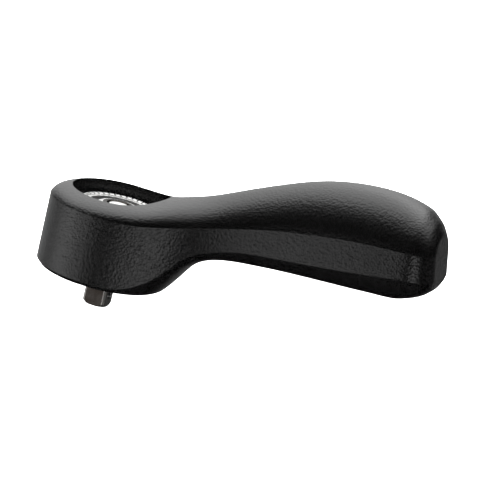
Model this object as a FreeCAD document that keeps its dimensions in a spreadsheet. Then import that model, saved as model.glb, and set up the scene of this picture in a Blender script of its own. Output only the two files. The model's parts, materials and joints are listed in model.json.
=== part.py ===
"""Winch handle with a one-way roller clutch and a push-button ball lock.

Frame: origin on the drive axis in the plane of the hub's underside, +Z up through the open recess,
+X along the arm towards the palm grip. The handle is symmetric about the XZ plane.
"""
import FreeCAD, Part
import math
import os
import re
import Sketcher

DRIVING_DIMENSIONS = [
    # hub
    ("recess_radius", 20.3), ("recess_floor", 29.4), ("recess_height", 30.0),
    ("hub_roof", 25.0), ("pocket_inner_radius", 18.5), ("pocket_outer_radius", 24.0),
    ("plate_thickness", 4.6), ("hub_rib_count", 8), ("rib_thickness", 1.8), ("rib_bottom", 5.2),
    # arm and grip
    ("wall_thickness", 3.5), ("tip_reach", 135.7), ("end_corner_radius", 9.6), ("end_lean", 0.194),
    ("cavity_start", 33.0), ("cavity_end", 130.0),
    # clutch housing
    ("housing_radius", 16.0), ("housing_bottom", 3.0), ("housing_top", 29.9), ("housing_lip_radius", 14.1),
    ("bush_seat_radius", 11.0), ("bush_flange_radius", 12.6), ("bush_flange_bottom", 9.0),
    ("clutch_bore_radius", 13.0), ("upper_seat_radius", 13.6), ("upper_seat_top", 27.0),
    ("snap_groove_bottom", 28.4), ("snap_groove_depth", 0.5),
    ("clutch_bottom", 11.0), ("clutch_top", 21.0), ("cage_rim_height", 1.0), ("cage_clearance", 0.4),
    ("ramp_depth_low", -0.08), ("ramp_depth_high", 0.36), ("ramp_start", -1.6), ("ramp_end", 3.4),
    ("roller_radius", 1.5), ("roller_count", 8), ("running_clearance", 0.03), ("loose_clearance", 0.1),
    ("end_notch_count", 36), ("end_notch_depth", 0.5), ("end_notch_width", 0.7), ("end_chamfer", 0.35),
    # drive spindle
    ("journal_radius", 8.5), ("race_radius", 10.0), ("stub_radius", 6.7), ("stub_bottom", 26.9),
    ("drive_square", 9.5), ("drive_length", 13.6), ("drive_corner_radius", 6.3), ("drive_chamfer", 1.3),
    ("rod_bore_radius", 2.35), ("rod_bore_depth", 12.8), ("button_bore_radius", 5.05),
    ("button_bore_floor", 16.0),
    ("circlip_groove_bottom", 28.95), ("circlip_groove_top", 29.65), ("circlip_groove_depth", 0.6),
    ("retainer_groove_bottom", 27.4), ("retainer_groove_top", 28.2), ("retainer_groove_depth", 0.45),
    # push-button ball lock
    ("rod_radius", 2.25), ("rod_neck_radius", 1.45), ("rod_top", 28.0), ("rod_ramp_height", 2.0),
    ("button_flange_radius", 4.95), ("button_cap_radius", 4.2), ("button_dimple_radius", 2.6),
    ("button_edge", 0.4),
    ("button_flange_bottom", 24.0), ("button_flange_top", 27.3), ("button_top", 29.7), ("button_travel", 3.0),
    ("ball_radius", 1.6), ("ball_height", 8.8), ("ball_standout", 0.8), ("ball_lip_depth", 0.55),
    ("spring_radius", 3.4), ("spring_wire_radius", 0.35), ("spring_turns", 6),
    # screws
    ("screw_radius", 1.9), ("screw_head_radius", 3.2), ("screw_head_height", 2.2), ("screw_length", 14.0),
    ("screw_socket_radius", 1.7), ("screw_socket_depth", 1.4), ("screw_head_clearance", 0.3),
    ("hub_screw_circle", 21.25), ("hub_screw_count", 3), ("hub_screw_seat", 2.4), ("hub_boss_radius", 3.6),
    ("boss_radius", 4.6), ("boss_height", 14.2),
]

# Curves that run along the arm, as (distance from the drive axis, size) pairs.
HALF_WIDTH = [(0, 28.4), (7.35, 27.43), (14, 25.6), (21, 23.0), (28, 20.0), (36, 17.4), (46, 15.6), (58, 15.0),
              (76, 15.9), (96, 17.7), (114, 18.7), (129, 18.85), (140, 18.6)]
CREST_HEIGHT = [(0, 36.55), (10, 36.8), (20, 38.35), (28, 41.2), (36, 44.2), (50, 50.75), (66, 58.25),
                (82, 64.6), (96, 67.9), (110, 69.1), (124, 68.5), (140, 67.8)]
CREST_FULLNESS = [(0, 2.25), (10, 2.33), (20, 2.27), (28, 2.1), (36, 1.9), (50, 1.85), (66, 1.9), (96, 2.0),
                  (140, 2.0)]
UPPER_CREASE = [(0, 29.2), (10, 29.2), (20, 29.9), (30, 31.8), (42, 34.9), (56, 38.8), (72, 43.1),
                (88, 46.5), (104, 49.1), (122, 50.8), (140, 51.5)]
LOWER_CREASE = [(0, 1.6), (8, 1.4), (15, 2.1), (22, 4.8), (29, 10.2), (34, 16.0), (39, 21.4), (46, 25.5),
                (56, 29.0), (72, 31.9), (92, 34.8), (112, 38.0), (126, 40.2), (140, 41.1)]
BELLY_HEIGHT = [(0, -10.0), (10, -9.0), (19, -6.0), (26, -0.5), (31, 6.2), (36, 13.4), (41, 17.8), (48, 20.8),
                (60, 22.9), (78, 24.8), (100, 26.4), (120, 27.8), (140, 28.8)]
# How the grip's top and belly close in on the creases: where that starts, and how full the curve is.
TOP_CLOSING = (108.0, 3.0)
BELLY_CLOSING = (121.8, 1.6)
CLOSING_OVERRUN = 0.5
CROWN_CUT = 0.22
BELLY_CUT = 1.5
ROUND = 2.0
POINTS_ACROSS = 13
ARM_STATIONS = [0, 4, 7.35, 11, 15, 18, 21, 24, 27, 31, 35, 39, 43, 48, 54, 61, 70, 80, 90, 100, 108, 114,
                120, 126.1]
END_CORNER_ANGLES = (20, 38, 54, 68, 80, 90)
ARM_RIBS = [54.0, 67.0, 97.0, 110.0]
ARM_SCREWS = [(44.0, 23.4), (82.0, 29.4), (120.0, 32.4)]

document = FreeCAD.newDocument("WinchHandle")
sheet = document.addObject("Spreadsheet::Sheet", "Dimensions")


def fill_sheet():
    """Put every driving dimension in the sheet as a plain number with its own alias."""
    for row, (alias, value) in enumerate(DRIVING_DIMENSIONS, start=1):
        sheet.set(f"A{row}", alias)
        sheet.set(f"B{row}", str(value))
        sheet.setAlias(f"B{row}", alias)
    document.recompute()


def size(alias):
    return float(sheet.get(alias))


def bound(expression):
    """The expression with each alias written as a reference to the sheet."""
    names = {alias for alias, _ in DRIVING_DIMENSIONS}

    def referred(word):
        return "Dimensions." + word[0] if word[0] in names else word[0]

    return re.sub(r"[a-z_]+", referred, str(expression))


def checked(feature):
    document.recompute()
    if feature.Shape.isNull() or not feature.Shape.isValid():
        raise RuntimeError(f"{feature.Label} has no valid shape")
    return feature


def moulded(label, shape):
    """A shape made with Part's functions, as an object of the document."""
    feature = document.addObject("Part::Feature", label)
    feature.Label = label
    feature.Shape = shape
    return checked(feature)


# ---------------------------------------------------------------- the handle's outer form

def rail(points):
    """A smooth curve along the arm whose parameter is the distance from the drive axis."""
    curve = Part.BSplineCurve()
    curve.interpolate(
        Points=[FreeCAD.Vector(x, 0, value) for x, value in points],
        Parameters=[float(x) for x, _ in points],
    )
    return lambda x: curve.value(x).z


half_width_at = rail(HALF_WIDTH)
crest_at = rail(CREST_HEIGHT)
fullness_at = rail(CREST_FULLNESS)
upper_crease_at = rail(UPPER_CREASE)
lower_crease_at = rail(LOWER_CREASE)
belly_at = rail(BELLY_HEIGHT)


def closing(x, start, fullness):
    """1 along the grip, falling along a full curve that would reach 0 just past the tip."""
    if x <= start:
        return 1.0
    reach = (x - start) / (size("tip_reach") + CLOSING_OVERRUN - start)
    return (1 - reach ** fullness) ** (1 / fullness)


def rounded_plan(x):
    """Half width with the grip's rounded end corners."""
    radius = size("end_corner_radius")
    corner_start = size("tip_reach") - radius
    if x <= corner_start:
        return half_width_at(x)
    return half_width_at(x) - radius + math.sqrt(max(0.0, radius ** 2 - (x - corner_start) ** 2))


def lean_at(x):
    """How far a section leans outward for each millimetre below the upper crease."""
    share = (x - size("tip_reach")) / size("end_corner_radius") + 1
    return size("end_lean") * max(0.0, share)


def arch(half_width, spring_height, crest_height, cut, fullness):
    """(across, height) points of an arch; cut is how far its centre lies past the springing, in rises."""
    rise = crest_height - spring_height
    sink = cut * rise
    start = math.asin(abs(sink / (rise + sink)) ** (fullness / 2))
    span = half_width / math.cos(start) ** (2 / fullness)
    points = []
    for step in range(POINTS_ACROSS):
        angle = start + (math.pi - 2 * start) * step / (POINTS_ACROSS - 1)
        across = math.copysign(span * abs(math.cos(angle)) ** (2 / fullness), math.cos(angle))
        points.append((across, spring_height - sink + (rise + sink) * math.sin(angle) ** (2 / fullness)))
    return points


def arm_section(x, inset=0.0):
    """One closed section: arched top, two upright sides and an arched belly, set in by a wall thickness."""
    upper = upper_crease_at(x)
    lower = lower_crease_at(x)
    width = rounded_plan(x) - inset
    crest = upper + (crest_at(x) - upper) * closing(x, *TOP_CLOSING) - inset
    belly = lower + (belly_at(x) - lower) * closing(x, *BELLY_CLOSING) + inset
    inner_lower = lower - 0.3 * inset

    def on_section(across, height):
        return FreeCAD.Vector(x + lean_at(x) * (upper - height), across, height)

    edges = []
    top = arch(width, upper, crest, CROWN_CUT, fullness_at(x))
    bottom = arch(width, inner_lower, belly, BELLY_CUT, ROUND)
    for outline in (top, bottom):
        curve = Part.BSplineCurve()
        curve.interpolate([on_section(across, height) for across, height in outline])
        edges.append(curve.toShape())
    for side in (width, -width):
        edges.append(Part.LineSegment(on_section(side, inner_lower), on_section(side, upper)).toShape())
    return Part.Wire(Part.__sortEdges__(edges))


def end_stations():
    """Stations round the end corners, at steady turns of the corner."""
    radius = size("end_corner_radius")
    start = size("tip_reach") - radius
    return [start + radius * math.sin(math.radians(angle)) for angle in END_CORNER_ANGLES]


def hub_form():
    """The hub's half away from the arm: the arm's first section spun about the drive axis."""
    origin, up = FreeCAD.Vector(0, 0, 0), FreeCAD.Vector(0, 0, 1)
    near_side = Part.Face(arm_section(0)).common(Part.makeBox(1, 40, 80, FreeCAD.Vector(-0.5, 0, -20)))
    return near_side.revolve(origin, up, 180)


def handle_form():
    """The whole handle as one solid block, cut flat across the hub's underside."""
    stations = ARM_STATIONS + end_stations()
    arm = Part.makeLoft([arm_section(x) for x in stations], True, False)
    above_underside = Part.makeBox(200, 100, 100, FreeCAD.Vector(-50, -50, 0))
    return moulded("handle_form", hub_form().fuse(arm).common(above_underside))


def arm_cavity():
    """The hollow inside the arm, one wall thickness in from the outer form."""
    start, end, wall = size("cavity_start"), size("cavity_end"), size("wall_thickness")
    stations = [start] + [x for x in ARM_STATIONS if start + 1 < x < end - 1] + [end]
    return moulded("arm_cavity", Part.makeLoft([arm_section(x, wall) for x in stations], True, False))


def above_parting():
    """Everything above the parting line, which follows the arm's lower crease."""
    far, top = 50, 90
    beyond_tip = LOWER_CREASE[-1][0]
    line = [FreeCAD.Vector(x, -far, lower_crease_at(x)) for x in ARM_STATIONS + [133, beyond_tip]]
    parting = Part.BSplineCurve()
    parting.interpolate(line)
    corners = [line[-1], FreeCAD.Vector(beyond_tip, -far, top), FreeCAD.Vector(-far, -far, top),
               FreeCAD.Vector(-far, -far, line[0].z), line[0]]
    outline = Part.Wire([parting.toShape()] + Part.makePolygon(corners).Edges)
    return moulded("above_parting", Part.Face(outline).extrude(FreeCAD.Vector(0, 2 * far, 0)))


# ---------------------------------------------------------------- helpers for machined parts

def place(feature, x=0, y=0, z=0, rotation=None):
    """Put a feature at a place whose coordinates are numbers or expressions."""
    if rotation is not None:
        feature.Placement = FreeCAD.Placement(FreeCAD.Vector(), rotation)
    for axis, value in (("x", x), ("y", y), ("z", z)):
        feature.setExpression(f"Placement.Base.{axis}", bound(value))
    return feature


def rod(label, radius, bottom, height, x=0, y=0, rotation=None):
    feature = document.addObject("Part::Cylinder", label)
    feature.setExpression("Radius", bound(radius))
    feature.setExpression("Height", bound(height))
    return place(feature, x, y, bottom, rotation)


def block(label, length, width, height, x, y, z, rotation=None):
    feature = document.addObject("Part::Box", label)
    for name, value in (("Length", length), ("Width", width), ("Height", height)):
        feature.setExpression(name, bound(value))
    return place(feature, x, y, z, rotation)


def fused(label, parts):
    feature = document.addObject("Part::MultiFuse", label)
    feature.Shapes = parts
    return checked(feature)


def without(label, base, tools):
    """The base with every tool cut away."""
    feature = document.addObject("Part::Cut", label)
    feature.Base = base
    feature.Tool = tools[0] if len(tools) == 1 else fused(label + "_tools", tools)
    return checked(feature)


def within(label, base, limit):
    feature = document.addObject("Part::Common", label)
    feature.Base = base
    feature.Tool = limit
    return checked(feature)


def grouped(label, parts):
    """Separate solids that share one node."""
    feature = document.addObject("Part::Compound", label)
    feature.Links = parts
    return checked(feature)


def attach(sketch, body, role, offset="0"):
    plane = [feature for feature in body.Origin.OriginFeatures if feature.Role == role][0]
    sketch.AttachmentSupport = [(plane, "")]
    sketch.MapMode = "FlatFace"
    sketch.setExpression("AttachmentOffset.Base.z", bound(offset))


def draw_outline(sketch, corners):
    """A closed outline whose corners are pairs of expressions, each corner held by its two distances."""
    points = []
    for across, along in corners:
        values = [float(sheet.evalExpression(str(expression))) for expression in (across, along)]
        points.append(FreeCAD.Vector(values[0], values[1], 0))
    count = len(points)
    for index, point in enumerate(points):
        sketch.addGeometry(Part.LineSegment(point, points[(index + 1) % count]))
    for index, (point, corner) in enumerate(zip(points, corners)):
        sketch.addConstraint(Sketcher.Constraint("Coincident", index - 1 if index else count - 1, 2, index, 1))
        for kind, value, axis, expression in (("DistanceX", point.x, -2, corner[0]),
                                              ("DistanceY", point.y, -1, corner[1])):
            if abs(value) < 1e-9:
                sketch.addConstraint(Sketcher.Constraint("PointOnObject", index, 1, axis))
                continue
            number = sketch.addConstraint(Sketcher.Constraint(kind, -1, 1, index, 1, value))
            sketch.setExpression(f"Constraints[{number}]", bound(expression))


def turned(label, outline, angle=360):
    """A turned part: an outline of (radius, height) corners spun about the drive axis."""
    body = document.addObject("PartDesign::Body", label)
    body.Label = label
    sketch = body.newObject("Sketcher::SketchObject", label + "_outline")
    attach(sketch, body, "XZ_Plane")
    draw_outline(sketch, outline)
    document.recompute()
    turning = body.newObject("PartDesign::Revolution", label + "_turning")
    turning.Profile = sketch
    turning.ReferenceAxis = (sketch, ["V_Axis"])
    turning.Angle = angle
    return checked(body)


def ring(label, inner, outer, bottom, top, angle=360):
    return turned(label, [(inner, bottom), (outer, bottom), (outer, top), (inner, top)], angle)


def pocketed(body, name, outline, top, depth, count):
    """Cut an upright pocket into a turned body and repeat it round the drive axis."""
    sketch = body.newObject("Sketcher::SketchObject", name + "_outline")
    attach(sketch, body, "XY_Plane", top)
    draw_outline(sketch, outline)
    document.recompute()
    before = body.Shape.Volume
    pocket = body.newObject("PartDesign::Pocket", name)
    pocket.Profile = sketch
    pocket.setExpression("Length", bound(depth))
    document.recompute()
    pattern = body.newObject("PartDesign::PolarPattern", name + "_pattern")
    pattern.Originals = [pocket]
    pattern.Axis = (sketch, ["N_Axis"])
    pattern.Angle = 360
    pattern.setExpression("Occurrences", bound(count))
    body.Tip = pattern
    checked(body)
    if body.Shape.Volume >= before:
        raise RuntimeError(f"{name} removed nothing")
    return body


def around(count, first=0.0):
    """Evenly spaced directions about the drive axis, in radians."""
    return [math.radians(first) + 2 * math.pi * index / count for index in range(int(count))]


def turn_about_drive(angle):
    return FreeCAD.Rotation(FreeCAD.Vector(0, 0, 1), math.degrees(angle))


# ---------------------------------------------------------------- body shell and base cover

def screw_places():
    """Where each cover screw stands: x, y and the height of the face under its head."""
    circle = size("hub_screw_circle")
    places = []
    for angle in around(size("hub_screw_count"), 60):
        places.append((circle * math.cos(angle), circle * math.sin(angle), size("hub_screw_seat")))
    return places + [(x, 0.0, seat) for x, seat in ARM_SCREWS]


def hub_ribs():
    """Upright ribs across the ring-shaped pocket around the clutch socket."""
    ribs = []
    inner = size("pocket_inner_radius") - 0.5
    half_thickness = size("rib_thickness") / 2
    for index, angle in enumerate(around(size("hub_rib_count"), 22.5)):
        x = inner * math.cos(angle) + half_thickness * math.sin(angle)
        y = inner * math.sin(angle) - half_thickness * math.cos(angle)
        ribs.append(block(f"hub_rib_{index}", "pocket_outer_radius - pocket_inner_radius + 1", "rib_thickness",
                          "hub_roof + 0.2 - rib_bottom", x, y, "rib_bottom", turn_about_drive(angle)))
    return ribs


def arm_ribs(cavity):
    """Ribs across the hollow arm, standing clear of the cover's inner face."""
    ribs = []
    for index, x in enumerate(ARM_RIBS):
        blank = block(f"arm_rib_blank_{index}", "rib_thickness", 60, 60, x, -30, lower_crease_at(x) + 1.5)
        ribs.append(within(f"arm_rib_{index}", cavity, blank))
    return ribs


def screw_bosses(pocket, cavity):
    """Posts in the hub's pocket and the arm's hollow for the cover screws."""
    bosses = []
    for index, (x, y, seat) in enumerate(screw_places()):
        on_hub = index < size("hub_screw_count")
        radius = "hub_boss_radius" if on_hub else "boss_radius"
        blank = rod(f"shell_boss_blank_{index}", radius, f"{seat} + screw_head_height", 60, x, y)
        bosses.append(within(f"shell_boss_{index}", blank, pocket if on_hub else cavity))
    return bosses


def body_shell(form, upper_space, cavity):
    """The upper moulding: hub wall, recess, clutch socket, hollow arm, ribs and screw bosses."""
    upper_block = within("shell_block", form, upper_space)
    pocket_outer = rod("pocket_outer", "pocket_outer_radius", -1, "hub_roof + 1")
    pocket_core = rod("pocket_core", "pocket_inner_radius", -2, 40)
    pocket = without("hub_pocket", pocket_outer, [pocket_core])
    socket = rod("clutch_socket", "housing_radius", -5, 60)
    recess = rod("thumb_recess", "recess_radius", "recess_floor", "recess_height")
    hollow = without("hollow_block", upper_block, [pocket, recess, socket, cavity])
    ribbed = fused("ribbed_block", [hollow] + hub_ribs() + arm_ribs(cavity) + screw_bosses(pocket, cavity))
    head_room = "screw_head_radius + screw_head_clearance"
    holes = []
    for index, (x, y, seat) in enumerate(screw_places()):
        holes.append(rod(f"pilot_hole_{index}", "screw_radius", seat, "screw_length + 0.6", x, y))
        if index < size("hub_screw_count"):
            holes.append(rod(f"head_room_{index}", head_room, -1, seat + 1, x, y))
    above = within("ribbed_shell", ribbed, upper_space)
    return without("body_shell", above, holes)


def base_cover(form, upper_space, cavity):
    """The lower moulding: hub underside, belly tray, screw bosses and the seat of the shaft seal."""
    lower_block = without("cover_block", form, [upper_space])
    tray = without("cover_tray", lower_block, [cavity])
    floor = rod("clutch_floor", "housing_radius - loose_clearance", 0, "housing_bottom - 0.5")
    plate_outer = rod("plate_outer", "pocket_outer_radius - loose_clearance", 0, "plate_thickness")
    plate_hole = rod("plate_hole", "pocket_inner_radius + loose_clearance", -1, 10)
    plate = without("screw_plate", plate_outer, [plate_hole])
    bosses = []
    for index, (x, seat) in enumerate(ARM_SCREWS):
        blank = rod(f"cover_boss_blank_{index}", "boss_radius", f"{seat} + screw_head_height - boss_height",
                    "boss_height", x)
        bosses.append(within(f"cover_boss_{index}", blank, form))
    solid = fused("cover_solid", [tray, floor, plate] + bosses)
    well_blank = rod("well_blank", "housing_radius", "housing_bottom - 0.5", 20)
    holes = [rod("seal_seat", "bush_seat_radius", -1, 10), within("clutch_well", well_blank, form)]
    head_room = "screw_head_radius + screw_head_clearance"
    for index, (x, y, seat) in enumerate(screw_places()):
        holes.append(rod(f"head_recess_{index}", head_room, seat - 20, 20, x, y))
        holes.append(rod(f"clearance_hole_{index}", "screw_radius + 0.15", seat - 1, 20, x, y))
    return without("base_cover", solid, holes)


def cover_screws():
    screws = []
    for index, (x, y, seat) in enumerate(screw_places()):
        head_bottom = f"{seat} - screw_head_height"
        head = rod(f"screw_head_{index}", "screw_head_radius", head_bottom, "screw_head_height", x, y)
        shank = rod(f"screw_shank_{index}", "screw_radius", seat - 0.5, "screw_length + 0.5", x, y)
        socket = document.addObject("Part::Prism", f"screw_socket_{index}")
        socket.Polygon = 6
        socket.setExpression("Circumradius", bound("screw_socket_radius"))
        socket.setExpression("Height", bound("screw_socket_depth + 0.1"))
        place(socket, x, y, head_bottom + " - 0.1")
        blank = fused(f"screw_blank_{index}", [head, shank])
        screws.append(without(f"screw_{index}", blank, [socket]))
    return grouped("cover_screws", screws)


# ---------------------------------------------------------------- one-way clutch

def clutch_housing():
    """The steel sleeve in the hub with roller ramps inside and small notches on its upper end face."""
    groove = "housing_lip_radius + snap_groove_depth"
    bore_top = "clutch_top + loose_clearance"
    housing = turned("clutch_housing", [
        ("bush_seat_radius", "housing_bottom"), ("housing_radius", "housing_bottom"),
        ("housing_radius", "housing_top - end_chamfer"), ("housing_radius - end_chamfer", "housing_top"),
        ("housing_lip_radius + end_chamfer", "housing_top"),
        ("housing_lip_radius", "housing_top - end_chamfer"),
        ("housing_lip_radius", "snap_groove_bottom + 1"), (groove, "snap_groove_bottom + 1"),
        (groove, "snap_groove_bottom"), ("housing_lip_radius", "snap_groove_bottom"),
        ("housing_lip_radius", "upper_seat_top"), ("upper_seat_radius", "upper_seat_top"),
        ("upper_seat_radius", bore_top), ("clutch_bore_radius", bore_top),
        ("clutch_bore_radius", "bush_flange_bottom"), ("bush_seat_radius", "bush_flange_bottom")])
    inside = "clutch_bore_radius - 1.5"
    ramp = [(inside, "ramp_start"), ("clutch_bore_radius + ramp_depth_low", "ramp_start"),
            ("clutch_bore_radius + ramp_depth_high", "ramp_end"), (inside, "ramp_end")]
    pocketed(housing, "roller_ramp", ramp, bore_top, "clutch_top - clutch_bottom + 0.2", "roller_count")
    notch = [("housing_lip_radius - 0.5", "-end_notch_width"), ("housing_radius + 0.5", 0),
             ("housing_radius + 0.5", "end_notch_width"), ("housing_lip_radius - 0.5", 0)]
    return pocketed(housing, "end_notch", notch, "housing_top", "end_notch_depth", "end_notch_count")


def roller_circle():
    return size("race_radius") + size("roller_radius") + size("running_clearance")


def clutch_rollers():
    rollers = []
    for index, angle in enumerate(around(size("roller_count"))):
        x, y = roller_circle() * math.cos(angle), roller_circle() * math.sin(angle)
        rollers.append(rod(f"roller_{index}", "roller_radius", "clutch_bottom + cage_rim_height + 0.05",
                           "clutch_top - clutch_bottom - 2 * cage_rim_height - 0.1", x, y))
    return grouped("clutch_rollers", rollers)


def roller_cage():
    """The moulded ring that keeps the rollers apart, with one window for each roller and its spring."""
    cage = ring("roller_cage", "race_radius + cage_clearance", "clutch_bore_radius - cage_clearance",
                "clutch_bottom", "clutch_top")
    window = [("race_radius - 1", -1.58), ("clutch_bore_radius + 1", -1.58),
              ("clutch_bore_radius + 1", 3.6), ("race_radius - 1", 3.6)]
    return pocketed(cage, "roller_window", window, "clutch_top - cage_rim_height",
                    "clutch_top - clutch_bottom - 2 * cage_rim_height", "roller_count")


def roller_springs():
    """One folded strip beside each roller, pressing it up its ramp."""
    inner, outer, thickness, bottom, height = 10.8, 12.1, 0.2, 12.5, 7.0
    fold = [(inner, 1.7), (outer, 1.9), (inner, 2.4), (outer, 2.9), (inner, 3.35)]
    middle_line = Part.makePolygon([FreeCAD.Vector(x, y, bottom) for x, y in fold])
    edge_line = middle_line.makeOffset2D(thickness / 2, 0, False, False)
    strip_shape = Part.Face(edge_line).extrude(FreeCAD.Vector(0, 0, height))
    springs = []
    for index, angle in enumerate(around(size("roller_count"))):
        spring = moulded(f"roller_spring_{index}", strip_shape)
        spring.Placement = FreeCAD.Placement(FreeCAD.Vector(), turn_about_drive(angle))
        springs.append(spring)
    return grouped("roller_springs", springs)


def clutch_bearings():
    """Bushes, washers, rings and seals stacked along the drive axis, each turned to its own outline."""
    bore = "journal_radius + running_clearance"
    loose_bore = "journal_radius + loose_clearance"
    seal_lip = "journal_radius + 0.8"
    plate_edge = "housing_lip_radius - 0.05"
    ring_edge = "housing_lip_radius + snap_groove_depth - 0.05"
    return [
        turned("lower_bush", [(bore, "housing_bottom"), ("bush_seat_radius", "housing_bottom"),
                              ("bush_seat_radius", "bush_flange_bottom"),
                              ("bush_flange_radius", "bush_flange_bottom"),
                              ("bush_flange_radius", "bush_flange_bottom + 0.8"),
                              (bore, "bush_flange_bottom + 0.8")]),
        ring("thrust_washer", loose_bore, "bush_flange_radius", "bush_flange_bottom + 0.82",
             "clutch_bottom - 0.15"),
        ring("wave_washer", loose_bore, "upper_seat_radius - 0.3", "clutch_top + 0.15", "clutch_top + 0.55"),
        ring("upper_bush", bore, "upper_seat_radius", "clutch_top + 0.6", "upper_seat_top - loose_clearance"),
        turned("retaining_plate", [("stub_radius + 0.3", "upper_seat_top"), (plate_edge, "upper_seat_top"),
                                   (plate_edge, "snap_groove_bottom"), (11.6, "snap_groove_bottom"),
                                   (11.3, "snap_groove_bottom - 0.3"), (10.5, "snap_groove_bottom - 0.3"),
                                   (10.2, "snap_groove_bottom"), ("stub_radius + 0.3", "snap_groove_bottom")]),
        ring("snap_ring", 12.4, ring_edge, "snap_groove_bottom + 0.02", "snap_groove_bottom + 0.95", 325),
        turned("shaft_seal", [("journal_radius + 0.05", 0.9), (seal_lip, 0.4), ("bush_seat_radius", 0.4),
                              ("bush_seat_radius", "housing_bottom - 0.5"), (seal_lip, "housing_bottom - 0.5"),
                              ("journal_radius + 0.05", 1.5)]),
        ring("cover_seal", "bush_seat_radius + 0.3", "housing_radius - loose_clearance",
             "housing_bottom - 0.5", "housing_bottom"),
    ]


# ---------------------------------------------------------------- drive spindle and ball lock

def spindle_turning():
    """The spindle before its flats are cut: race, journals, stub with its grooves, and the stepped bore."""
    circlip_floor = "stub_radius - circlip_groove_depth"
    retainer_floor = "button_bore_radius + retainer_groove_depth"
    race_bottom, race_top = "clutch_bottom - loose_clearance", "clutch_top + loose_clearance"
    return turned("spindle_turning", [
        (0, "-drive_length"), ("drive_corner_radius - drive_chamfer", "-drive_length"),
        ("drive_corner_radius", "drive_chamfer - drive_length"), ("drive_corner_radius", 0.2),
        ("journal_radius", 0.2), ("journal_radius", race_bottom), ("race_radius", race_bottom),
        ("race_radius", race_top), ("journal_radius", race_top), ("journal_radius", "stub_bottom"),
        ("stub_radius", "stub_bottom"), ("stub_radius", "circlip_groove_bottom"),
        (circlip_floor, "circlip_groove_bottom"), (circlip_floor, "circlip_groove_top"),
        ("stub_radius", "circlip_groove_top"), ("stub_radius", "housing_top"),
        ("button_bore_radius", "housing_top"),
        ("button_bore_radius", "retainer_groove_top"), (retainer_floor, "retainer_groove_top"),
        (retainer_floor, "retainer_groove_bottom"), ("button_bore_radius", "retainer_groove_bottom"),
        ("button_bore_radius", "button_bore_floor"), ("rod_bore_radius", "button_bore_floor"),
        ("rod_bore_radius", "-rod_bore_depth"), (0, "-rod_bore_depth")])


def drive_spindle():
    """The spindle: clutch race, journals and stub above, square drive with a turned end below."""
    collar = rod("flats_blank", "journal_radius + 0.5", "-drive_length - 1", "drive_length + 1.2")
    square = block("square_core", "drive_square", "drive_square", "drive_length + 3", "-drive_square / 2",
                   "-drive_square / 2", "-drive_length - 2")
    flats = without("square_flats", collar, [square])
    sideways = FreeCAD.Rotation(FreeCAD.Vector(0, 1, 0), 90)
    lip_start = "drive_square / 2 - ball_lip_depth"
    ball_hole = rod("ball_hole", "ball_radius + 0.06", "-ball_height", lip_start, rotation=sideways)
    lip = document.addObject("Part::Cone", "ball_lip")
    lip.setExpression("Radius1", bound("ball_radius + 0.06"))
    lip.setExpression("Radius2", bound("ball_radius - 0.15"))
    lip.setExpression("Height", bound("ball_lip_depth + 0.001"))
    place(lip, lip_start, 0, "-ball_height", sideways)
    return without("drive_spindle", spindle_turning(), [flats, ball_hole, lip])


def spindle_rings():
    """The washer and circlip that keep the spindle up, and the ring that keeps the button in."""
    return [
        ring("spindle_washer", "stub_radius + loose_clearance", 9.2, "snap_groove_bottom + 0.03",
             "circlip_groove_bottom - 0.05"),
        ring("spindle_circlip", "stub_radius - 0.55", 7.9, "circlip_groove_bottom + 0.02",
             "circlip_groove_top - 0.03", 320),
        ring("button_retainer", "button_cap_radius + 0.15", "button_bore_radius + 0.4",
             "retainer_groove_bottom + 0.05", "retainer_groove_top - 0.05", 320),
    ]


def release_button():
    return turned("release_button", [
        ("rod_radius", "button_flange_bottom"), ("button_flange_radius", "button_flange_bottom"),
        ("button_flange_radius", "button_flange_top"), ("button_cap_radius", "button_flange_top"),
        ("button_cap_radius", "button_top - button_edge"), ("button_cap_radius - button_edge", "button_top"),
        ("button_dimple_radius", "button_top"), (0, "button_top - 0.3"), (0, "rod_top"),
        ("rod_radius", "rod_top")])


def release_rod():
    """The rod under the button, with the ramp that lets the ball sink while the button is down."""
    neck_bottom = "button_travel - ball_height"
    return turned("release_rod", [
        (0, "-ball_height - 0.8"), ("rod_radius", "-ball_height - 0.8"), ("rod_radius", "-ball_height"),
        ("rod_neck_radius", neck_bottom), ("rod_neck_radius", neck_bottom + " + 0.8"),
        ("rod_radius", neck_bottom + " + rod_ramp_height"), ("rod_radius", "rod_top"), (0, "rod_top")])


def button_spring():
    """The coil spring between the spindle's counterbore and the button."""
    wire_radius, radius, turns = size("spring_wire_radius"), size("spring_radius"), int(size("spring_turns"))
    length = size("button_flange_bottom") - size("button_bore_floor") - 2 * wire_radius
    points_per_turn = 8
    count = turns * points_per_turn
    points = []
    for index in range(count + 1):
        angle = 2 * math.pi * index / points_per_turn
        rise = length * index / count
        points.append(FreeCAD.Vector(radius * math.cos(angle), radius * math.sin(angle), rise))
    coil = Part.BSplineCurve()
    coil.interpolate(points)
    direction = coil.tangent(coil.FirstParameter)[0]
    section = Part.Wire(Part.makeCircle(wire_radius, points[0], direction))
    spring = moulded("button_spring", Part.Wire(coil.toShape()).makePipeShell([section], True, True))
    spring.Placement.Base = FreeCAD.Vector(0, 0, size("button_bore_floor") + wire_radius)
    return checked(spring)


def lock_ball():
    ball = document.addObject("Part::Sphere", "lock_ball")
    ball.setExpression("Radius", bound("ball_radius"))
    return checked(place(ball, "drive_square / 2 + ball_standout - ball_radius", 0, "-ball_height"))


# ---------------------------------------------------------------- build and write

def build():
    form, upper_space, cavity = handle_form(), above_parting(), arm_cavity()
    nodes = [body_shell(form, upper_space, cavity), base_cover(form, upper_space, cavity), cover_screws(),
             clutch_housing(), clutch_rollers(), roller_cage(), roller_springs()]
    nodes += clutch_bearings()
    nodes += [drive_spindle(), release_button(), release_rod(), button_spring(), lock_ball()]
    return nodes + spindle_rings()


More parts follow.
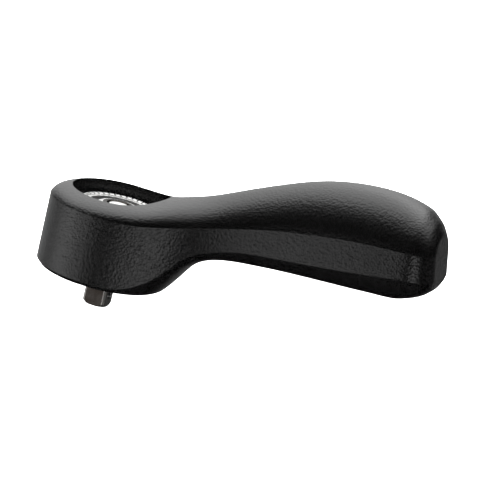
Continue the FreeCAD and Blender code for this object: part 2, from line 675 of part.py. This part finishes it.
def write(nodes):
    document.recompute()
    for feature in document.Objects:
        if {"Invalid", "Error"} & set(feature.State):
            raise RuntimeError(f"{feature.Label} failed to recompute")
    os.makedirs("parts", exist_ok=True)
    for node in nodes:
        checked(node)
        node.Shape.exportStep(f"parts/{node.Label}.step")
        print(node.Label, len(node.Shape.Solids), round(node.Shape.Volume, 1))


fill_sheet()
write(build())
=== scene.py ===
"""Looks of the winch handle: materials, floor, lights and camera, in metres, in the CAD frame."""
import json
import math

import bpy
from mathutils import Matrix, Vector


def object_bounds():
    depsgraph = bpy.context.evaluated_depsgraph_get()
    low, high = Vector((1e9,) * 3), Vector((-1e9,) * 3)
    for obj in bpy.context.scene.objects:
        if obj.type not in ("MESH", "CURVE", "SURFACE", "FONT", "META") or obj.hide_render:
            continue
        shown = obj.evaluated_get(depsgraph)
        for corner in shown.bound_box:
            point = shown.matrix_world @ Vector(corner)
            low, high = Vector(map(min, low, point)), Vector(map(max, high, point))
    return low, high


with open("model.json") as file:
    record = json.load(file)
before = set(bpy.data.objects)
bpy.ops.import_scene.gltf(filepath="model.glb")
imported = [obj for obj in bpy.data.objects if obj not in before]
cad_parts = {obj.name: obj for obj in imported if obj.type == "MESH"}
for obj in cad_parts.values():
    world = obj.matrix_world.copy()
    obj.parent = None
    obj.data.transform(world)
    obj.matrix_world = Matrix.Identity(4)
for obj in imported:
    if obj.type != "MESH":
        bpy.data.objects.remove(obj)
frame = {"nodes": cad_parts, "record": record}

CAD_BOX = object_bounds()
MM = 0.001

# Painted highlight on the drive's turned corners: a bright base colour stands in for the line they reflect.
# It starts and is full at these distances from the axis, and it ends between these heights, where the hub
# begins.
CORNER_HIGHLIGHT_REACH = (6.05 * MM, 6.25 * MM)
HIGHLIGHT_END_UNDER_HUB = (-1.0 * MM, 0.0)


# ---------------------------------------------------------------- node materials
# Scales of noise, cells and rings are in repeats to the metre, because the coordinates are in metres.

def new_material(name):
    """An empty node material: its node tree and its shader."""
    material = bpy.data.materials.new(name)
    material.use_nodes = True
    nodes = material.node_tree.nodes
    return material, material.node_tree, nodes["Principled BSDF"]


def object_coordinates(tree):
    """Places on the piece in its own axes, which are the frame's."""
    return tree.nodes.new("ShaderNodeTexCoord").outputs["Object"]


def noise(tree, place, scale, detail=3.0, roughness=0.5):
    """Cloudy noise between 0 and 1."""
    node = tree.nodes.new("ShaderNodeTexNoise")
    node.inputs["Scale"].default_value = scale
    node.inputs["Detail"].default_value = detail
    node.inputs["Roughness"].default_value = roughness
    tree.links.new(place, node.inputs["Vector"])
    return node.outputs["Fac"]


def cells(tree, place, scale, smoothness=0.35):
    """Rounded cells, as in a pebble-grained mould."""
    node = tree.nodes.new("ShaderNodeTexVoronoi")
    node.feature = "SMOOTH_F1"
    node.inputs["Scale"].default_value = scale
    node.inputs["Smoothness"].default_value = smoothness
    tree.links.new(place, node.inputs["Vector"])
    return node.outputs["Distance"]


def spread(tree, value, low, high, from_low=0.0, from_high=1.0):
    """The value taken from one range to another."""
    node = tree.nodes.new("ShaderNodeMapRange")
    limits = {"From Min": from_low, "From Max": from_high, "To Min": low, "To Max": high}
    for name, number in limits.items():
        node.inputs[name].default_value = number
    tree.links.new(value, node.inputs["Value"])
    return node.outputs["Result"]


def combine(tree, operation, first, second):
    """The result of a sum, product or other operation on two values, each a number or a socket."""
    node = tree.nodes.new("ShaderNodeMath")
    node.operation = operation
    for index, value in enumerate((first, second)):
        if isinstance(value, (int, float)):
            node.inputs[index].default_value = value
        else:
            tree.links.new(value, node.inputs[index])
    return node.outputs["Value"]


def two_colours(tree, share, dark, light):
    """A colour between two, by a share from 0 to 1."""
    node = tree.nodes.new("ShaderNodeValToRGB")
    node.color_ramp.elements[0].color = (*dark, 1)
    node.color_ramp.elements[1].color = (*light, 1)
    tree.links.new(share, node.inputs["Fac"])
    return node.outputs["Color"]


def bump(tree, shader, height, distance, strength):
    """Make a height from 0 to 1 stand up by a distance, with a strength that says how much of it shows."""
    node = tree.nodes.new("ShaderNodeBump")
    node.inputs["Distance"].default_value = distance
    node.inputs["Strength"].default_value = strength
    tree.links.new(height, node.inputs["Height"])
    tree.links.new(node.outputs["Normal"], shader.inputs["Normal"])


def pebbled_nylon():
    """Black glass-filled nylon with the fine pebble grain of a textured mould."""
    material, tree, shader = new_material("black_nylon_pebbled")
    place = object_coordinates(tree)
    pebbles = cells(tree, place, scale=1100)
    fine = noise(tree, place, scale=2600, detail=4)
    broad = noise(tree, place, scale=60, detail=2)
    pebble_height = combine(tree, "MULTIPLY", pebbles, 0.9)
    fine_height = combine(tree, "MULTIPLY", fine, 0.4)
    grain = combine(tree, "ADD", pebble_height, fine_height)
    tree.links.new(two_colours(tree, broad, dark=(0.0016, 0.0016, 0.0017), light=(0.003, 0.003, 0.0031)),
                   shader.inputs["Base Color"])
    tree.links.new(spread(tree, grain, low=0.18, high=0.27), shader.inputs["Roughness"])
    bump(tree, shader, grain, distance=0.17 * MM, strength=0.7)
    return material


def turned_steel(name, dark, light, rough):
    """Steel with the fine rings that a lathe leaves round the drive axis."""
    material, tree, shader = new_material(name)
    place = object_coordinates(tree)
    shader.inputs["Metallic"].default_value = 1.0
    rings = tree.nodes.new("ShaderNodeTexWave")
    rings.wave_type = "RINGS"
    rings.rings_direction = "Z"
    rings.inputs["Scale"].default_value = 300
    rings.inputs["Distortion"].default_value = 0.6
    rings.inputs["Detail"].default_value = 2
    tree.links.new(place, rings.inputs["Vector"])
    stain = noise(tree, place, scale=220, detail=4)
    tree.links.new(two_colours(tree, stain, dark, light), shader.inputs["Base Color"])
    dullness = combine(tree, "MULTIPLY", rings.outputs["Fac"], stain)
    tree.links.new(spread(tree, dullness, *rough), shader.inputs["Roughness"])
    bump(tree, shader, rings.outputs["Fac"], distance=0.01 * MM, strength=0.5)
    return material


def painted_corner_highlight(tree, place):
    """1 on the square drive's turned corners, where a bright base colour paints a highlight, and 0
    elsewhere.
    """
    flat = tree.nodes.new("ShaderNodeVectorMath")
    flat.operation = "MULTIPLY"
    flat.inputs[1].default_value = (1, 1, 0)
    tree.links.new(place, flat.inputs[0])
    reach = tree.nodes.new("ShaderNodeVectorMath")
    reach.operation = "LENGTH"
    tree.links.new(flat.outputs["Vector"], reach.inputs[0])
    split = tree.nodes.new("ShaderNodeSeparateXYZ")
    tree.links.new(place, split.inputs[0])
    on_corner = spread(tree, reach.outputs["Value"], 0.0, 1.0, *CORNER_HIGHLIGHT_REACH)
    below_hub = spread(tree, split.outputs["Z"], 1.0, 0.0, *HIGHLIGHT_END_UNDER_HUB)
    return combine(tree, "MULTIPLY", on_corner, below_hub)


def black_chrome():
    """Dark polished plating with fine scratches and a random tone, and a painted highlight of bright base
    colour on the drive's corners.
    """
    material, tree, shader = new_material("black_chrome_painted_corner_highlight")
    place = object_coordinates(tree)
    shader.inputs["Metallic"].default_value = 1.0
    scratches = noise(tree, place, scale=1800, detail=5, roughness=0.7)
    plating = combine(tree, "MULTIPLY", noise(tree, place, scale=320, detail=3), 0.1)
    # The corner mask paints a highlight into the base colour; the plating noise adds a random tone.
    plating_tone_and_corner_highlight = combine(tree, "ADD", plating, painted_corner_highlight(tree, place))
    dullness = combine(tree, "ADD", scratches, plating_tone_and_corner_highlight)
    tree.links.new(two_colours(tree, plating_tone_and_corner_highlight, dark=(0.016, 0.01, 0.007), light=(0.75, 0.73, 0.7)),
                   shader.inputs["Base Color"])
    tree.links.new(spread(tree, dullness, low=0.12, high=0.5, from_high=1.6), shader.inputs["Roughness"])
    bump(tree, shader, scratches, distance=0.02 * MM, strength=0.4)
    return material


def plain_grained(name, dark, light, rough, metallic=0.0, scale=900):
    """A moulded, sintered or ground finish: two close colours and a fine grain."""
    material, tree, shader = new_material(name)
    place = object_coordinates(tree)
    shader.inputs["Metallic"].default_value = metallic
    grain = noise(tree, place, scale, detail=4, roughness=0.6)
    tree.links.new(two_colours(tree, grain, dark, light), shader.inputs["Base Color"])
    tree.links.new(spread(tree, grain, *rough), shader.inputs["Roughness"])
    bump(tree, shader, grain, distance=0.02 * MM, strength=0.5)
    return material


def dress_nodes():
    """Give every CAD node the material of what it is made of."""
    finishes = {
        "black_nylon": pebbled_nylon(),
        "bright_steel": turned_steel("turned_steel", dark=(0.66, 0.66, 0.65), light=(0.82, 0.82, 0.81),
                                     rough=(0.36, 0.56)),
        "dark_steel": turned_steel("black_oxide_steel", dark=(0.05, 0.05, 0.052), light=(0.09, 0.09, 0.092),
                                   rough=(0.3, 0.5)),
        "bearing_steel": plain_grained("ground_steel", dark=(0.6, 0.6, 0.6), light=(0.76, 0.76, 0.76),
                                       rough=(0.14, 0.3), metallic=1.0, scale=1500),
        "bronze": plain_grained("sintered_bronze", dark=(0.42, 0.27, 0.13), light=(0.58, 0.4, 0.22),
                                rough=(0.34, 0.5), metallic=1.0, scale=2200),
        "cage_nylon": plain_grained("natural_nylon", dark=(0.62, 0.58, 0.48), light=(0.72, 0.69, 0.6),
                                    rough=(0.4, 0.55)),
        "rubber_seal": plain_grained("seal_rubber", dark=(0.012, 0.012, 0.012), light=(0.022, 0.022, 0.022),
                                     rough=(0.55, 0.75)),
        "black_chrome": black_chrome(),
    }
    for subpart in frame["record"]["subparts"]:
        node = frame["nodes"][subpart["node"]]
        node.data.materials.clear()
        node.data.materials.append(finishes[subpart["material_slot"]])


# ---------------------------------------------------------------- floor, lights and camera

def camera_axes(azimuth, elevation, roll):
    """Right, up and backward directions of a camera, from angles in degrees."""
    turn, lift, tilt = (math.radians(angle) for angle in (azimuth, elevation, roll))
    back = Vector((math.sin(turn) * math.cos(lift), -math.cos(turn) * math.cos(lift), math.sin(lift)))
    level = Vector((math.cos(turn), math.sin(turn), 0))
    upright = back.cross(level)
    right = level * math.cos(tilt) + upright * math.sin(tilt)
    up = upright * math.cos(tilt) - level * math.sin(tilt)
    return right, up, back


def add_camera():
    """The viewing angle: a long lens from the front, a little to the grip's side, tilted clockwise."""
    right, up, back = camera_axes(azimuth=16.655, elevation=14.329, roll=13.618)
    target = Vector((54.16, 0, 31.1)) * MM
    distance = 900 * MM
    data = bpy.data.cameras.new("camera")
    data.sensor_width = 36
    data.lens = 167.1
    data.clip_start = 0.05
    camera = bpy.data.objects.new("camera", data)
    bpy.context.scene.collection.objects.link(camera)
    turn = Matrix((right, up, back)).transposed().to_4x4()
    camera.matrix_world = Matrix.Translation(target + back * distance) @ turn
    bpy.context.scene.camera = camera


def add_floor_light(floor):
    """A large soft box over the floor that lights the floor alone and takes no shadow from the handle."""
    right, up, back = camera_axes(azimuth=0, elevation=89, roll=0)
    centre = Vector((54, 0, 25)) * MM
    distance = 1.2
    data = bpy.data.lights.new("floor_light", "AREA")
    data.shape = "RECTANGLE"
    data.size = 2.4
    data.size_y = 2.4
    data.energy = 120
    light = bpy.data.objects.new("floor_light", data)
    bpy.context.scene.collection.objects.link(light)
    turn = Matrix((right, up, back)).transposed().to_4x4()
    light.matrix_world = Matrix.Translation(centre + back * distance) @ turn
    light.visible_glossy = False
    floor_only = bpy.data.collections.new("floor_only")
    floor_only.objects.link(floor)
    light.light_linking.receiver_collection = floor_only
    light.light_linking.blocker_collection = floor_only


def add_floor():
    """A white floor level with the lowest point of the drive, which doesn't show in reflections."""
    half = 3.0
    height = CAD_BOX[0][2]
    corners = [(x, y, height) for x, y in ((-half, -half), (half, -half), (half, half), (-half, half))]
    mesh = bpy.data.meshes.new("floor")
    mesh.from_pydata(corners, [], [(0, 1, 2, 3)])
    floor = bpy.data.objects.new("floor", mesh)
    bpy.context.scene.collection.objects.link(floor)
    floor.visible_glossy = False
    material, tree, shader = new_material("white_floor")
    shader.inputs["Roughness"].default_value = 0.9
    shader.inputs["Specular IOR Level"].default_value = 0.0
    place = object_coordinates(tree)
    tree.links.new(two_colours(tree, noise(tree, place, scale=5), (0.86, 0.86, 0.86), (0.9, 0.9, 0.9)),
                   shader.inputs["Base Color"])
    mesh.materials.append(material)
    return floor


def ramp(tree, value, stops):
    """A grey scale that runs evenly from each (position, brightness) stop to the next."""
    node = tree.nodes.new("ShaderNodeValToRGB")
    elements = node.color_ramp.elements
    while len(elements) < len(stops):
        elements.new(0.5)
    for element, (position, brightness) in zip(elements, stops):
        element.position = position
        element.color = (brightness, brightness, brightness, 1)
    tree.links.new(value, node.inputs["Fac"])
    return node.outputs["Color"]


# Brightness of the low panels in front: by azimuth in degrees from -Y, positive towards -X.
PANELS = [(-180, 0.14), (-150, 0.14), (-95, 0.2), (-80, 0.04), (-54, 0.04), (-46, 1.2), (-20, 1.5),
          (-16, 0.0), (6, 0.0), (11, 1.2), (20, 0.8), (32, 0.9), (48, 1.6), (70, 1.4), (88, 0.4),
          (150, 0.3), (180, 0.2)]
# How much of the panels shows at each elevation in degrees.
PANEL_HEIGHTS = [(-90, 0.0), (-32, 0.02), (-23, 1.3), (-11, 1.3), (-5, 0.0), (90, 0.0)]
# Brightness of the wall behind, by elevation.
BACK_WALL = [(-90, 0.0), (-14, 0.0), (-4, 0.6), (6, 0.85), (20, 0.7), (34, 0.0), (90, 0.0)]
# The wall's edges, where it fades in towards +Y and out towards +X, in parts of a unit direction.
WALL_BEHIND = (0.3, 0.8)
WALL_LEFT = (-0.25, 0.2)
# The softbox above left: its brightness by the angle from its middle, and where its middle is.
SOFTBOX = [(180, 0.0), (80, 0.0), (70, 0.03), (60, 0.12), (50, 0.4), (40, 0.75), (30, 1.0), (0, 1.0)]
SOFTBOX_BRIGHTNESS = 3.0
SOFTBOX_PLACE = (138, 56)
# It hangs clear of the wall: how much of it shows at each elevation.
SOFTBOX_HEIGHTS = [(-90, 0.0), (8, 0.0), (20, 0.25), (38, 0.75), (48, 1.0), (90, 1.0)]
# A dimmer one beyond the grip's end.
SIDE_BOX = [(180, 0.0), (42, 0.0), (28, 0.3), (14, 1.0), (0, 1.0)]
SIDE_BOX_BRIGHTNESS = 1.0
SIDE_BOX_PLACE = (-135, 56)


def by_height(stops):
    """Stops by elevation in degrees as stops by the direction's height, from 0 below to 1 above."""
    return [((math.sin(math.radians(angle)) + 1) / 2, brightness) for angle, brightness in stops]


def facing(azimuth, elevation):
    """Unit vector at an azimuth from -Y towards -X and an elevation, in degrees."""
    turn, lift = math.radians(azimuth), math.radians(elevation)
    return (-math.sin(turn) * math.cos(lift), -math.cos(turn) * math.cos(lift), math.sin(lift))


def round_box(tree, direction, place, stops, brightness):
    """A round softbox at a place in the sky, whose light falls off with the angle from its middle."""
    towards = tree.nodes.new("ShaderNodeVectorMath")
    towards.operation = "DOT_PRODUCT"
    towards.inputs[1].default_value = facing(*place)
    tree.links.new(direction, towards.inputs[0])
    nearness = spread(tree, towards.outputs["Value"], 0.0, 1.0, -1.0, 1.0)
    falloff = [((math.cos(math.radians(angle)) + 1) / 2, level) for angle, level in stops]
    return combine(tree, "MULTIPLY", ramp(tree, nearness, falloff), brightness)


def add_surroundings():
    """The studio round the handle: softboxes above, a pale wall behind and low pale panels in front."""
    world = bpy.data.worlds.new("studio")
    bpy.context.scene.world = world
    world.use_nodes = True
    tree = world.node_tree
    direction = tree.nodes.new("ShaderNodeTexCoord").outputs["Generated"]
    split = tree.nodes.new("ShaderNodeSeparateXYZ")
    tree.links.new(direction, split.inputs[0])
    height = spread(tree, split.outputs["Z"], 0.0, 1.0, -1.0, 1.0)
    towards_left = combine(tree, "MULTIPLY", split.outputs["X"], -1.0)
    towards_front = combine(tree, "MULTIPLY", split.outputs["Y"], -1.0)
    turn = combine(tree, "ARCTAN2", towards_left, towards_front)
    azimuth = spread(tree, turn, 0.0, 1.0, -math.pi, math.pi)
    panels = ramp(tree, azimuth, [((angle + 180) / 360, brightness) for angle, brightness in PANELS])
    panels = combine(tree, "MULTIPLY", panels, ramp(tree, height, by_height(PANEL_HEIGHTS)))
    behind = spread(tree, split.outputs["Y"], 0.0, 1.0, *WALL_BEHIND)
    left = spread(tree, towards_left, 0.0, 1.0, *WALL_LEFT)
    wall = combine(tree, "MULTIPLY", behind, left)
    wall = combine(tree, "MULTIPLY", wall, ramp(tree, height, by_height(BACK_WALL)))
    softbox = round_box(tree, direction, SOFTBOX_PLACE, SOFTBOX, SOFTBOX_BRIGHTNESS)
    softbox = combine(tree, "MULTIPLY", softbox, ramp(tree, height, by_height(SOFTBOX_HEIGHTS)))
    side_box = round_box(tree, direction, SIDE_BOX_PLACE, SIDE_BOX, SIDE_BOX_BRIGHTNESS)
    boxes_and_wall = combine(tree, "ADD", combine(tree, "ADD", softbox, side_box), wall)
    background = tree.nodes["Background"]
    background.inputs["Color"].default_value = (1, 1, 1, 1)
    tree.links.new(combine(tree, "ADD", boxes_and_wall, panels), background.inputs["Strength"])


def add_studio():
    """Floor, surroundings, and a light of the floor's own that keeps it evenly white without a shadow."""
    floor = add_floor()
    add_surroundings()
    add_floor_light(floor)
    bpy.context.scene.view_settings.view_transform = "Standard"


dress_nodes()
add_studio()
add_camera()
